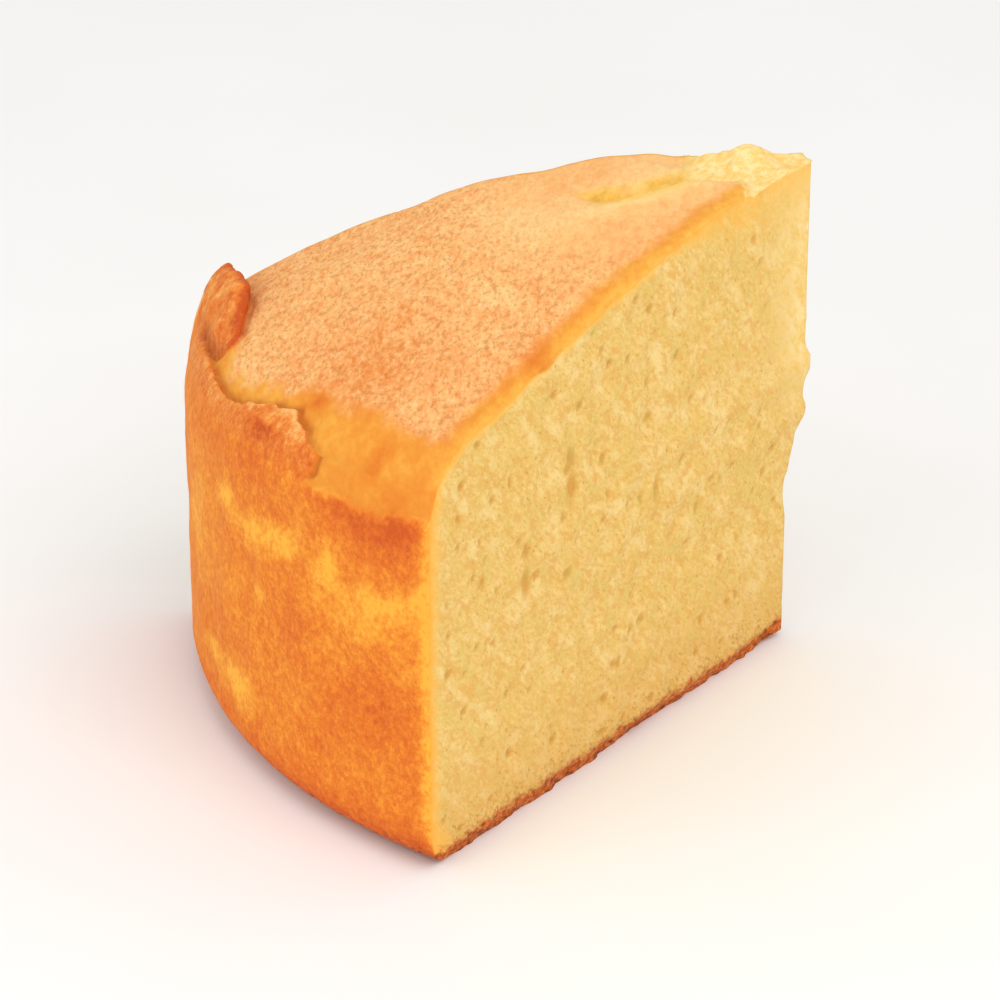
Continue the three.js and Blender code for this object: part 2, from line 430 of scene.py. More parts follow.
def pits(points, spacing, radii, seed):
    """Depth of round pits, one at a random place in each cell of a grid, with random radii:
    1 less the square of the distance over the radius, the deepest where they meet."""
    random = np.random.default_rng(seed)
    places = random.uniform(0, 1, (NOISE_CELLS,) * 3 + (3,))
    sizes = random.uniform(*radii, (NOISE_CELLS,) * 3)
    cell = np.floor(points / spacing).astype(int)
    deepest = np.zeros(len(points))
    for step in np.ndindex(3, 3, 3):
        near = cell + np.subtract(step, 1)
        i, j, k = (near % NOISE_CELLS).T
        gap = np.linalg.norm(points - (near + places[i, j, k]) * spacing, axis=1)
        deepest = np.maximum(deepest, 1 - (gap / sizes[i, j, k]) ** 2)
    return deepest


# Where each point lies. Where the crust has come off, a point counts as deep below it.
BARE_DEPTH = 8.0
torn = torn_share(u, x, y)
across_split, split_ends = split_line(x, y)
reach, rise = crust_edge(u)
lip_outer, lip_inner, lip_rise = between(LIP_STATIONS, u)
raised = np.clip(rise, 0, 1)
wedge_width = blend(2 * TIP_HALF_WIDTH, SLICE_ANGLE * CAKE_RADIUS, v)
from_cut = np.minimum(u, 1 - u) * wedge_width
from_tip = np.hypot(x - tip_out(z), y)
along_cut = np.abs(y) * math.sin(SLICE_ANGLE / 2) - x * math.cos(SLICE_ANGLE / 2)
below_top = (top - z) + BARE_DEPTH * torn
nearer_side = on_side | (~on_top & (in_from_rim < top - z))

# Which crust a point of the outside belongs to. The side crust covers the wall up to a ragged
# line under the shoulder near cut A, and from there on the flap, the band and the lip. A point
# inside has the crust that lies nearer. Pairs such as LEDGE_EDGE, here and below, say where a
# soft edge starts and where it ends.
LEDGE_STATIONS = [  # place along the rim from cut A, height
    (0, 46.3),
    (4.2, 45.4),
    (6.4, 45.2),
    (9.6, 44.8),
    (13.0, 44.9),
    (16.5, 44.7),
    (20.7, 44.6),
]
FLAP_SIDE_STATIONS = [(44.6, 20.8), (45.4, 20.0), (45.9, 19.6), (47.4, 19.6)]  # height, place
RAGGED = [(0.4, 0.9, 11), (0.6, 3.1, 12)]
RAGGED_SHARES = {"ledge": 1.2, "flap": 0.3, "inner": 0.25, "outer": 0.15}
LEDGE_EDGE = (-0.4, 0.4)
FLAP_EDGE = (-0.3, 0.3)
REACH_EDGE = (-0.1, 0.4)
LIP_EDGES = {"outer": (-0.2, 0.2), "inner": (-0.2, 0.3)}
LEAST_REACH = 0.4
LEAST_LIP = 0.5
ragged = clouds(points, RAGGED)
over_ledge = z - between(LEDGE_STATIONS, arc)[0] + RAGGED_SHARES["ledge"] * ragged
past_flap_side = arc - between(FLAP_SIDE_STATIONS, z)[0] + RAGGED_SHARES["flap"] * ragged
wall_share = np.maximum(1 - ease(over_ledge, *LEDGE_EDGE), ease(past_flap_side, *FLAP_EDGE))
inner_place = in_from_rim + RAGGED_SHARES["inner"] * ragged
outer_place = in_from_rim + RAGGED_SHARES["outer"] * ragged
rolled_share = 1 - past(inner_place, reach, REACH_EDGE)
rolled_share = rolled_share * np.clip(reach / LEAST_REACH, 0, 1)
on_lip = past(outer_place, lip_outer, LIP_EDGES["outer"]) * np.clip(lip_rise / LEAST_LIP, 0, 1)
on_lip = on_lip * (1 - past(inner_place, lip_inner, LIP_EDGES["inner"]))
rolled_share = np.maximum(rolled_share, on_lip)
side_share = np.where(on_side, wall_share, np.where(on_top, rolled_share, nearer_side))

# Crumb: low rounded bumps and pores; a few long pores stand in cut A where steam rose. The crumb
# is smeared smooth where the knife came out at the tip.
CRUMB_BUMPS = [(0.05, 2.6, 1), (0.02, 1.2, 2)]
CRUMB_PORES = {"spacing": 3.2, "radii": (0.4, 0.85), "seed": 3}
PORE_DEPTH = 0.3
LONG_PORES = [  # along cut A from the tip, height, half width, half height
    (47.7, 44.0, 0.8, 1.3),
    (47.7, 40.4, 0.9, 1.8),
    (56.5, 35.4, 0.6, 1.1),
    (56.5, 31.2, 0.8, 1.9),
    (59.3, 45.3, 0.4, 0.8),
    (64.9, 34.6, 0.5, 0.9),
    (31.8, 43.4, 0.6, 0.6),
    (30.5, 33.5, 0.5, 1.3),
]
SMEAR = {"width": 7.0, "from": 30, "to": 42, "share": 0.9}
CRUMB_EDGES = {"top": (0.3, 1.8), "side": (0.3, 1.2)}
pores = np.clip(pits(points, **CRUMB_PORES), 0, 1)
for along, height, half_width, half_height in LONG_PORES:
    long_pore = hump(along_cut - along, half_width) * hump(z - height, half_height)
    pores = np.maximum(pores, long_pore * (u == 0))
smeared = hump(from_tip, SMEAR["width"]) * ease(z, SMEAR["from"], SMEAR["to"])
crumb_share = on_cut * (1 - SMEAR["share"] * smeared)
crumb_share = crumb_share * ease(below_top, *CRUMB_EDGES["top"])
crumb_share = crumb_share * ease(in_from_rim, *CRUMB_EDGES["side"])
crumb_relief = crumb_share * (clouds(points, CRUMB_BUMPS) - PORE_DEPTH * pores)

# Top crust: a fine grain that dies out over the shoulder and beside the cuts, and the split,
# with a crack along its foot and bare crumb on its far bank.
SMOOTH_STATIONS = [  # place round the rim, width of the smooth shoulder
    (0, 4.5),
    (0.1, 5.2),
    (0.2, 6.8),
    (0.25, 5.6),
    (0.36, 6.6),
    (0.42, 4.4),
    (0.62, 1.6),
    (0.7, 5),
    (1, 6),
]
SHOULDER_EDGE = (-1.2, 1.2)
GRAIN_EDGE = [(0.9, 1.8, 13), (0.6, 0.8, 19)]
SMOOTH_EDGE = {"a": 3.2, "b": 0.3, "from": 0.5, "to": 1.3}
CUT_EDGE = [(0.6, 2.2, 14), (0.3, 0.8, 20)]
TOP_BUMPS = [(0.06, 3.5, 5)]
TOP_GRAIN = [(0.05, 1.0, 6)]
GRAIN_PITS = {"spacing": 1.2, "radii": (0.25, 0.5), "seed": 4}
GRAIN_PIT_DEPTH = 0.1
SMOOTH_BANK = {"up_to": 0.2, "width": 3.4}
CRACK = {"width": 0.48, "off": 0.1, "bends": 0.5, "depth": 0.2, "gaps": (-0.5, 0.1)}
CRACK_NOISES = {"bends": (2.4, 35), "gaps": (3.2, 30)}
BARE_BANK = {"near": (-0.4, 0.1), "far": (0.9, 1.7), "gaps": (-0.9, 0.1), "share": 0.9}
NEAR_SIDE_RAGGED = 0.3
past_shoulder = in_from_rim - between(SMOOTH_STATIONS, u)[0]
past_cut_edge = from_cut + clouds(points, CUT_EDGE)
beside_split = across_split < SMOOTH_BANK["up_to"]
beside_split = split_ends * beside_split * hump(across_split, SMOOTH_BANK["width"])
smooth_edge = np.where(u < 0.5, SMOOTH_EDGE["a"], SMOOTH_EDGE["b"])
grain_share = on_top * (1 - torn) * (1 - beside_split)
grain_share = grain_share * ease(past_shoulder + clouds(points, GRAIN_EDGE), *SHOULDER_EDGE)
edge_start, edge_end = (SMOOTH_EDGE[end] * smooth_edge for end in ("from", "to"))
grain_share = grain_share * ease(past_cut_edge, edge_start, edge_end)
grain = clouds(points, TOP_GRAIN) - GRAIN_PIT_DEPTH * np.clip(pits(points, **GRAIN_PITS), 0, 1)
crack_noise = cloud(points, *CRACK_NOISES["bends"])
gap_noise = cloud(points, *CRACK_NOISES["gaps"])
split_crack = hump(across_split - CRACK["off"] - CRACK["bends"] * crack_noise, CRACK["width"])
split_crack = split_crack * split_ends * ease(gap_noise, *CRACK["gaps"])
bare_bank = ease(across_split + NEAR_SIDE_RAGGED * ragged, *BARE_BANK["near"])
bare_bank = bare_bank * (1 - ease(across_split + ragged, *BARE_BANK["far"]))
bare_bank = BARE_BANK["share"] * on_top * split_ends * bare_bank
bare_bank = bare_bank * ease(crack_noise, *BARE_BANK["gaps"])
top_relief = on_top * (clouds(points, TOP_BUMPS) - CRACK["depth"] * split_crack)
top_relief = top_relief + grain_share * grain

# Side crust: a soft grain, wrinkles, craters and lumps on the flap and the lip, a groove and a
# ridge round their edge, and a crease that parts the lip from the band outside it. Above the
# ragged line near cut A the shoulder lies a step lower.
SIDE_BUMPS = [(0.05, 3.0, 7), (0.04, 1.2, 8)]
WRINKLES = [(0.22, 2.2, 9), (0.14, 1.0, 10)]
SIDE_WRINKLES = {"from": 43.5, "to": 46.5, "share": 0.6}
CRATERS = {"spacing": 2.6, "radii": (0.3, 0.7), "seed": 31}
CRATER_DEPTH = 0.25
LIP_LUMPS = [(0.45, 3.4, 41)]
LEDGE_STEP = {"depth": 0.25, "width": 5, "up_to": 21}
LIP_CREASE = {"from": 0.68, "to": 0.93, "width": 0.36, "depth": 0.5}
LIP_CREASE_ENDS = {"from": (0, 0.03), "to": (-0.08, 0)}
EDGE_GROOVE = {"off": 0.3, "width": 0.42, "depth": 0.45, "at_lip": 0.5}
EDGE_RIDGE = {"off": 0.6, "width": 0.4, "height": 0.2, "up_to": 0.6, "reach": (0.8, 1.6)}
FLAP_GROOVE = {"off": 0.3, "width": 0.4, "depth": 0.25, "from": 44.8, "to": 45.6}
wrinkled_side = ease(past_flap_side, 0, 1) * ease(z, SIDE_WRINKLES["from"], SIDE_WRINKLES["to"])
wrinkled = on_top * rolled_share * np.maximum(raised, on_lip)
wrinkled = np.maximum(wrinkled, on_side * SIDE_WRINKLES["share"] * wrinkled_side)
bare_shoulder = (on_side | on_top) * (1 - side_share) * (arc < LEDGE_STEP["up_to"])
bare_shoulder = bare_shoulder * hump(in_from_rim, LEDGE_STEP["width"])
crease_ends = past(u, LIP_CREASE["from"], LIP_CREASE_ENDS["from"])
crease_ends = crease_ends * (1 - past(u, LIP_CREASE["to"], LIP_CREASE_ENDS["to"]))
from_crease = in_from_rim - lip_outer - RAGGED_SHARES["outer"] * ragged
lip_crease = on_top * crease_ends * hump(from_crease, LIP_CREASE["width"])
band_groove = hump(in_from_rim - reach - EDGE_GROOVE["off"], EDGE_GROOVE["width"])
lip_groove = hump(in_from_rim - lip_inner - EDGE_GROOVE["off"], EDGE_GROOVE["width"])
lip_groove = EDGE_GROOVE["at_lip"] * np.clip(lip_rise, 0, 1) * lip_groove
edge_groove = on_top * np.maximum(raised * band_groove * (1 - on_lip), lip_groove)
edge_ridge = hump(in_from_rim - reach + EDGE_RIDGE["off"], EDGE_RIDGE["width"])
edge_ridge = edge_ridge * on_top * raised * ease(reach, *EDGE_RIDGE["reach"])
edge_ridge = edge_ridge * (u < EDGE_RIDGE["up_to"])
flap_groove = on_side * hump(past_flap_side + FLAP_GROOVE["off"], FLAP_GROOVE["width"])
flap_groove = flap_groove * ease(z, FLAP_GROOVE["from"], FLAP_GROOVE["to"])
side_relief = on_side * clouds(points, SIDE_BUMPS) + on_top * on_lip * clouds(points, LIP_LUMPS)
side_relief = side_relief + wrinkled * clouds(points, WRINKLES)
for depth, place in [
    (CRATER_DEPTH, wrinkled * np.clip(pits(points, **CRATERS), 0, 1)),
    (LEDGE_STEP["depth"], bare_shoulder),
    (LIP_CREASE["depth"], lip_crease),
    (EDGE_GROOVE["depth"], edge_groove),
    (-EDGE_RIDGE["height"], edge_ridge),
    (FLAP_GROOVE["depth"], flap_groove),
]:
    side_relief = side_relief - depth * place

# Torn crumb at the tip: rounded knobs a millimetre or two across.
TORN_GRAIN = [(0.3, 1.9, 15), (0.16, 1.0, 16)]
TORN_FACE = {"width": 1.6, "low": (16, 22), "high": (44, 50)}
torn_face = on_cut * hump(from_tip, TORN_FACE["width"])
torn_face = torn_face * ease(z, *TORN_FACE["low"]) * (1 - ease(z, *TORN_FACE["high"]))
torn_crumb = np.maximum(torn * on_top, torn_face) * clouds(points, TORN_GRAIN)

relief = crumb_relief + top_relief + side_relief + torn_crumb
shaped = points + normals * relief[:, None]

# The edge of the base has crumbled away along the cuts. What lies behind it is pushed in too,
# less and less with the distance from the cut, so that nothing folds over.
CRUMBLE = {"depth": 0.85, "height": 1.5, "reach": 4.0, "from_tip": (0, 4)}
CRUMBLE_GRAIN = [(0.16, 2.4, 17), (0.2, 1.0, 18)]
MISSING_CRUST = {"along": 31.0, "half_length": 7.0, "depth": 0.5}
missing = hump(along_cut - MISSING_CRUST["along"], MISSING_CRUST["half_length"])
crumble = CRUMBLE["depth"] + clouds(points, CRUMBLE_GRAIN) + MISSING_CRUST["depth"] * missing
near_cut = np.clip(1 - from_cut / np.minimum(CRUMBLE["reach"], wedge_width / 2), 0, 1)
crumble = crumble * near_cut * hump(z, CRUMBLE["height"])
crumble = crumble * ease(along_cut, *CRUMBLE["from_tip"])
shaped[:, 0] -= crumble * math.sin(SLICE_ANGLE / 2)
shaped[:, 1] += crumble * math.cos(SLICE_ANGLE / 2) * np.where(u < 0.5, 1, -1)

# Near the tip it has lost its lowest millimetre as well.
TIP_LIFT = {"height": 1.0, "length": 7.0, "up_to": 6.0}
near_tip = 1 - ease(v * CAKE_RADIUS, 0, TIP_LIFT["length"])
shaped[:, 2] += TIP_LIFT["height"] * near_tip * (1 - ease(z, 0, TIP_LIFT["up_to"]))
box_low, box_high = (np.array(corner) / MM - [AXIS_X, 0, 0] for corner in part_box("cake_slice"))
shaped = np.clip(shaped, box_low, box_high)
shaped[w == 0, 2] = TIP_LIFT["height"] * near_tip[w == 0]
mesh.vertices.foreach_set("co", ((shaped + [AXIS_X, 0, 0]) * MM).ravel())
mesh.update()

# Browning: where the crusts are yellow (0), orange or brown (1), with painted shade on the lip's
# inner side and a painted highlight on the ridge round the flap. Each patch is an ellipse on the
# wall or the top, with its place, its two half sizes, its turn in degrees and its strength.
WALL_PATCHES = [  # along the wall from cut A, height
    (4.5, 44.2, 4.2, 2.2, -8, 0.36),
    (11.5, 43.0, 5.5, 2.2, -4, 0.34),
    (6.0, 40.6, 5.5, 1.8, 0, 0.14),
    (7.0, 33.6, 7.5, 2.4, -14, -0.5),
    (10.2, 48.2, 2.6, 1.3, 0, 0.18),
    (4.5, 47.6, 2.0, 0.8, -10, 0.12),
    (16.8, 34.8, 1.7, 3.2, 25, -0.4),
    (10.0, 29.2, 6.0, 1.9, -6, -0.24),
    (0.5, 30.0, 2.6, 4.5, 0, -0.25),
    (25.0, 35.4, 3.2, 1.9, 10, -0.42),
    (31.0, 34.0, 4.5, 2.2, -10, -0.42),
    (38.3, 35.4, 3.4, 2.2, -20, -0.44),
    (30.5, 25.7, 1.3, 1.9, 0, -0.24),
    (36.5, 10.4, 3.6, 2.4, 15, -0.45),
    (45.5, 11.0, 5.0, 1.7, -12, -0.3),
    (53.0, 26.0, 7.0, 9.0, 0, -0.2),
    (10.0, 19.5, 7.0, 4.0, 0, 0.12),
    (21.0, 11.5, 5.0, 2.5, 0, 0.1),
    (22.0, 46.0, 3.2, 2.0, 0, 0.22),
    (32.0, 46.4, 6.0, 1.6, -4, 0.24),
    (33.0, 42.3, 5.0, 2.0, -8, 0.12),
]
TOP_PATCHES = [  # x and y from the cake's axis
    (-45.7, -25.6, 3.0, 1.6, 65, 0.38),
    (-66.7, -27.2, 3.2, 1.3, 22, 0.3),
    (-67.2, -11.7, 2.2, 1.0, 100, 0.4),
    (-71.8, 4.0, 6.5, 1.2, 88, 0.1),
    (-43.3, -10.2, 4.5, 1.4, 103, -0.2),
    (-34.6, 5.5, 9.0, 6.0, 80, -0.22),
    (-60.0, -12.0, 10.0, 8.0, 100, 0.28),
    (-20.0, -0.6, 8.0, 1.8, 0, -0.35),
    (-16.0, 1.0, 15.0, 9.0, 0, -0.24),
    (-62.4, -30.0, 3.0, 1.5, 65, 0.12),
]
BENDS = {
    "across": [(1.2, 5.0, 21), (0.7, 1.7, 22)],
    "up": [(1.0, 5.0, 23), (0.7, 1.7, 24)],
}
BEND_SHARE = 0.5
MEAN_BROWNING = {"wall": 0.5, "top": 0.45, "rolled": 0.52}
MOTTLE = [(0.1, 8.0, 25), (0.08, 2.6, 26), (0.04, 1.1, 27)]
MOTTLE_SHARE = {"top": 0.5, "more_at_rim": 0.6, "width": 5}
ROLLED_MOTTLE = [(0.16, 2.0, 33), (0.12, 0.9, 34)]
TO_THE_BASE = [  # browner by, from height, to height
    (0.2, 4, 8.5),
    (0.25, 1.5, 5),
    (0.25, 0.4, 2.4),
]
PALE_STRIP = {"width": 2.1, "strength": 0.5, "low": (1, 7), "high": (43, 48)}
LEDGE_LINE = {"off": 0.1, "width": 0.4, "strength": 0.25, "end": (18, 21)}
BESIDE_CUT = [(0.1, 2.6, 1.1), (-0.1, 0.0, 1.0)]  # browner by, distance from cut A, half width
# Painted shade: the steep inner side of the lip is browner and darker, where it lies in shade.
LIP_BROWNING_AND_SHADE = {"all": -0.06, "inside": 0.45, "inner_edge": (-2.4, -0.8)}
# Painted highlight: the ridge round the edge of the flap and band is lighter and yellower, where
# light catches it.
RIDGE_HIGHLIGHT = -0.3


def patches(across, up, rows):
    """A sum of bells of elliptical outline, each turned and with its own strength."""
    total = 0
    for place, height, half_length, half_width, turn, strength in rows:
        way = math.radians(turn)
        along = (across - place) * math.cos(way) + (up - height) * math.sin(way)
        aside = (up - height) * math.cos(way) - (across - place) * math.sin(way)
        total = total + strength * hump(along, half_length) * hump(aside, half_width)
    return total


bend_across = clouds(points, BENDS["across"])
bend_up = clouds(points, BENDS["up"])
wall_browning = MEAN_BROWNING["wall"] + patches(arc + bend_across, z + bend_up, WALL_PATCHES)
for more, low, high in TO_THE_BASE:
    wall_browning = wall_browning + more * (1 - ease(z, low, high))
strip = 1 - ease(from_cut + BEND_SHARE * bend_up, 0, PALE_STRIP["width"])
strip = strip * ease(z, *PALE_STRIP["low"]) * (1 - ease(z, *PALE_STRIP["high"]))
ledge_line = hump(over_ledge + LEDGE_LINE["off"], LEDGE_LINE["width"])
ledge_line = ledge_line * (1 - ease(arc, *LEDGE_LINE["end"]))
wall_browning = wall_browning - PALE_STRIP["strength"] * strip - LEDGE_LINE["strength"] * ledge_line
bent_x, bent_y = x + BEND_SHARE * bend_across, y + BEND_SHARE * bend_up
top_browning = MEAN_BROWNING["top"] + patches(bent_x, bent_y, TOP_PATCHES)
for more, distance, half_width in BESIDE_CUT:
    top_browning = top_browning + more * (u < 0.5) * hump(from_cut - distance, half_width)
# Painted shade on the lip's steep inner side.
lip_inner_shade = on_lip * past(in_from_rim, lip_inner, LIP_BROWNING_AND_SHADE["inner_edge"])
rolled_browning = MEAN_BROWNING["rolled"] + clouds(points, ROLLED_MOTTLE)
# Painted highlight on the ridge round the flap's edge.
rolled_browning = rolled_browning + RIDGE_HIGHLIGHT * edge_ridge
rolled_browning = rolled_browning + LIP_BROWNING_AND_SHADE["all"] * on_lip
rolled_browning = rolled_browning + LIP_BROWNING_AND_SHADE["inside"] * lip_inner_shade
browning = blend(top_browning, rolled_browning, rolled_share)
browning = np.where(nearer_side, wall_browning, browning)
near_rim = hump(in_from_rim, MOTTLE_SHARE["width"])
mottled = MOTTLE_SHARE["top"] + MOTTLE_SHARE["more_at_rim"] * near_rim
browning = browning + clouds(points, MOTTLE) * np.where(nearer_side, 1, mottled)

# Gold: the crumb's share of gold next to a crust, wide near the tip and thin at the wall, and
# less where the tip has torn. Just below the torn tip the crumb is pale, and in one spot of
# cut A the crust is thicker.
GOLD_TOP = {"share": 0.8, "less_at_tip": 0.2, "width": 1.5, "width_at_tip": 8.0}
GOLD_TIP = {"length": 30, "wide": 8, "fade": 15}
GOLD_SIDE = {"share": 0.75, "width": 2.6, "width_high_up": 3.2, "wider_at_base": 3}
GOLD_HEIGHTS = {"base": (2, 8), "high_up": (34, 42)}
TORN_SIDE = {"from": 8.0, "to": 12.5, "less_gold": 0.25}
TORN_SIDE_NOISE = (2.5, 36)
PALE_TIP = {"along": 4.0, "half_length": 3.0, "below": 0.5, "half_height": 2.8}
THICK_SPOT = {"along": 52.0, "half_length": 2.2, "depth": 0.8}
near_tip = 1 - ease(along_cut, GOLD_TIP["wide"], GOLD_TIP["length"])
top_width = blend(GOLD_TOP["width"], GOLD_TOP["width_at_tip"], near_tip)
near_tip = ease(GOLD_TIP["length"] - along_cut, 0, GOLD_TIP["fade"])
gold_top = GOLD_TOP["share"] - GOLD_TOP["less_at_tip"] * near_tip
gold_top = gold_top * (1 - np.clip((top - z) / top_width, 0, 1))
high_up = ease(z, *GOLD_HEIGHTS["high_up"])
side_width = blend(GOLD_SIDE["width"], GOLD_SIDE["width_high_up"], high_up)
side_width = side_width + GOLD_SIDE["wider_at_base"] * (1 - ease(z, *GOLD_HEIGHTS["base"]))
gold_side = GOLD_SIDE["share"] * (1 - np.clip(in_from_rim / side_width, 0, 1))
from_torn = along_cut + cloud(points, *TORN_SIDE_NOISE)
torn_side = 1 - ease(from_torn, TORN_SIDE["from"], TORN_SIDE["to"])
gold = np.maximum(gold_top, gold_side) * (1 - TORN_SIDE["less_gold"] * torn_side) * ~on_top
pale_tip = hump(along_cut - PALE_TIP["along"], PALE_TIP["half_length"])
pale_tip = pale_tip * hump(top - z - PALE_TIP["below"], PALE_TIP["half_height"])
thick_spot = hump(along_cut - THICK_SPOT["along"], THICK_SPOT["half_length"]) * (u == 0)

# What the material reads at each point, from 0 to 1, and two depths in millimetres.
ROLLED_SIDE = {"under_rim": (-4, -0.5), "flap": (0, 1.5)}
CREASE_SHADE_SHARES = {"edge": 0.9, "flap": 0.8}
FEW_SPECKS = {"from": 28, "to": 46, "share": 0.75}
FEW_SPECKS_BENDS = [(4, 6.0, 32)]
PORE_EDGE = (0.05, 0.7)
rolled_side = past(z, rim_top, ROLLED_SIDE["under_rim"])
rolled_side = rolled_side * ease(past_flap_side, *ROLLED_SIDE["flap"])
# Painted shade: the grooves and creases round the flap and the lip get a darker brown, where shadow
# falls in them.
crease_shade = np.maximum(CREASE_SHADE_SHARES["edge"] * edge_groove, lip_crease)
crease_shade = crease_shade + CREASE_SHADE_SHARES["flap"] * flap_groove
towards_axis = in_from_rim + clouds(points, FEW_SPECKS_BENDS)
few_specks = FEW_SPECKS["share"] * ease(towards_axis, FEW_SPECKS["from"], FEW_SPECKS["to"])
read_by_material = {
    "crust_depth": np.minimum(below_top, in_from_rim) - THICK_SPOT["depth"] * thick_spot,
    "above_base": z,
    "side_crust": side_share,
    "rolled": np.where(on_side, rolled_side, on_top) * side_share,
    "grain": grain_share,
    "specks": grain_share * (1 - few_specks),
    "crease": np.clip(crease_shade, 0, 1),
    "bare_bank": bare_bank,
    "browning": np.clip(browning, 0, 1),
    "gold": gold,
    "smeared": np.maximum(np.maximum(smeared, pale_tip) * on_cut, torn * on_top),
    "pore": ease(pores * crumb_share, *PORE_EDGE),
}
for name, values in read_by_material.items():
    attribute = mesh.attributes.new(name, "FLOAT", "POINT")
    attribute.data.foreach_set("value", values.astype(np.float32))

cake = bpy.data.objects.new("cake_slice_baked", mesh)
bpy.context.scene.collection.objects.link(cake)

# Baked butter cake: dry, open crumb and a matte crust that butter makes a little shiny where it
# browned against the tin. Light sinks a millimetre or two into it, so no shadow in it is grey.
CRUMB_COLOURS = [(0.34, "#dfb060"), (0.5, "#e7bf6c"), (0.66, "#edcc82")]
CRUMB_PALE = "#f2d693"
CRUMB_OLIVE = "#dec06a"
CRUMB_OCHRE = "#e0a856"
# Painted shade: the crumb turns darker towards the base, near the table.
CRUMB_SHADE_LOW = "#dba558"
CRUMB_SPECK = "#a87a30"
# Painted shade in the pores: the crumb is darker and browner where its pits are.
PORE_SHADE_COLOURS = [(0.4, "#c89c48"), (0.52, "#d0923c")]
SMEARED_COLOURS = [(0.3, "#edbd64"), (0.46, "#f2cb7a"), (0.68, "#f9e2a9")]
GOLD_COLOURS = [
    (0.0, "#f0c46a"),
    (0.4, "#f6bc58"),
    (0.75, "#f4ae48"),
    (0.9, "#f39f3c"),
    (1.0, "#ef9036"),
]
TOP_COLOURS = [
    (0.0, "#f3ce8a"),
    (0.3, "#f2ba76"),
    (0.5, "#efa865"),
    (0.75, "#e8934e"),
    (1.0, "#e07c32"),
]
DARK_FLECK = "#b9763a"
PALE_FLECK = "#f9d2a2"
SMOOTH_COLOURS = [
    (0.0, "#f4ca72"),
    (0.3, "#eead48"),
    (0.55, "#e69438"),
    (0.8, "#e0812e"),
    (1.0, "#d66f27"),
]
BANK_COLOURS = [(0.38, "#d6a844"), (0.6, "#edbf5c")]
SIDE_COLOURS = [
    (0.0, "#f9b342"),
    (0.25, "#f09a36"),
    (0.5, "#e5802c"),
    (0.75, "#da6c28"),
    (1.0, "#cc5a24"),
]
ROLLED_COLOURS = [(0.15, "#eeb26a"), (0.4, "#e68e40"), (0.62, "#de7630"), (0.95, "#c25522")]
# Painted shade: the darker brown laid in the grooves and creases.
CREASE_SHADE_BROWN = "#ad4c1c"
BASE_COLOURS = [(0.38, "#6c3213"), (0.44, "#a84a1d"), (0.53, "#cc6229"), (0.66, "#df8a48")]

material = bpy.data.materials.new("baked_butter_cake")
material.use_nodes = True
tree = material.node_tree
tree.nodes.clear()


def linear(colour):
    """An sRGB hex colour as linear red, green, blue and alpha."""
    parts = [int(colour[i : i + 2], 16) / 255 for i in (1, 3, 5)]
    return [p / 12.92 if p <= 0.04045 else ((p + 0.055) / 1.055) ** 2.4 for p in parts] + [1.0]


def add_node(kind, inputs=(), output=0, stops=(), **settings):
    """Adds a node of a kind with its settings, its colour stops and its inputs, each a value, an
    sRGB colour or the output of another node, and gives back one of its outputs."""
    node = tree.nodes.new("ShaderNode" + kind)
    for name, value in settings.items():
        setattr(node, name, value)
    for number, (position, colour) in enumerate(stops):
        elements = node.color_ramp.elements
        element = elements[number] if number < 2 else elements.new(position)
        element.position = position
        element.color = linear(colour)
    for name, value in dict(inputs).items():
        if isinstance(value, bpy.types.NodeSocket):
            tree.links.new(value, node.inputs[name])
        else:
            node.inputs[name].default_value = linear(value) if isinstance(value, str) else value
    return node.outputs[output] if node.outputs else node


place = add_node("TexCoord", output="Object")
at = {name: add_node("Attribute", output="Fac", attribute_name=name) for name in read_by_material}

# Noises of several sizes. The crumb's cells lean towards the side of the cake, and the skin of
# the top was drawn out as the cake rose, so their noises are stretched.
LEANING = {"Rotation": (0, math.radians(45), math.radians(30)), "Scale": (1.8, 1, 1)}
DRAWN_OUT = {"Rotation": (0, 0, math.radians(-25)), "Scale": (1, 1.9, 1)}
leaning = add_node("Mapping", {"Vector": place, **LEANING}, vector_type="TEXTURE")
drawn_out = add_node("Mapping", {"Vector": place, **DRAWN_OUT}, vector_type="TEXTURE")
noise = {}
for name, where, size, detail, roughness in [  # the size is in millimetres
    ("fine", leaning, 0.45, 3, 0.75),
    ("middling", leaning, 1.1, 4, 0.7),
    ("broad", leaning, 2.6, 3, 0.6),
    ("flecks", drawn_out, 0.5, 2, 0.7),
    ("blots", drawn_out, 1.1, 3, 0.7),
    ("specks", place, 0.8, 3, 0.85),
    ("spots", place, 1.6, 3, 0.7),
]:
    grains = {"Scale": 1 / (size * MM), "Detail": detail, "Roughness": roughness}
    noise[name] = add_node("TexNoise", {"Vector": where, **grains})

# Shifts of a share, a depth or a height, which follow a noise from one value to another.
shift = {}
for name, source, start, end in [
    ("gold", "middling", -0.15, 0.15),
    ("top", "blots", 0.24, -0.24),
    ("side_grain", "specks", 0.16, -0.16),
    ("side_spots", "spots", 0.14, -0.14),
    ("crust_edge", "middling", 0.7, 0.2),
    ("base_edge", "middling", -1.0, 1.0),
]:
    ends = {"From Min": 0.3, "From Max": 0.7, "To Min": start, "To Max": end}
    shift[name] = add_node("MapRange", {"Value": noise[source], **ends})

